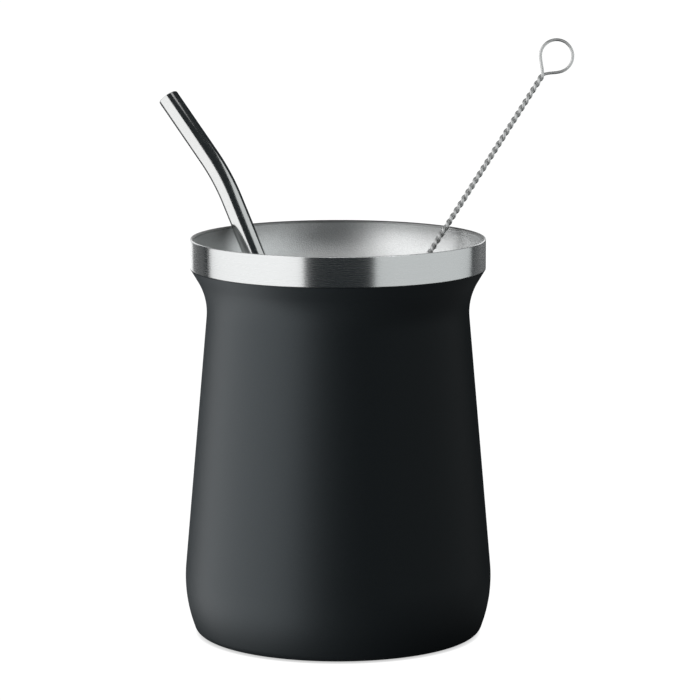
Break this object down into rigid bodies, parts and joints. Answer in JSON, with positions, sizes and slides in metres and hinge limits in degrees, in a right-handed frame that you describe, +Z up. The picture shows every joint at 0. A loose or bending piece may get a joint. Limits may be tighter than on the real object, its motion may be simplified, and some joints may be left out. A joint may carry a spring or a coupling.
{
  "type": "mate cup with straw and cleaning brush",
  "caption": "Double-walled steel mate cup with a flared steel rim band and black coated body, holding a bent steel drinking straw and a looped wire straw brush.",
  "frame": {"origin": "centre of the cup's foot, on the plane it stands on", "axes": "+Z up along the cup's axis; the straw leans towards -X, the brush towards +X, and both lean back towards +Y"},
  "size_m": [0.117, 0.085, 0.163],
  "materials": {
    "black_coat": "matt powder coat, charcoal black",
    "brushed_steel": "brushed round the cup",
    "polished_steel": "near-polished tube",
    "drawn_wire": "bright drawn wire",
    "white_nylon": "nylon filament"
  },
  "bodies": {
    "root": {"body_shell": "black_coat", "steel_liner": "brushed_steel", "straw": "polished_steel", "brush_wire": "drawn_wire", "brush_bristles": "white_nylon"}
  },
  "joints": []
}
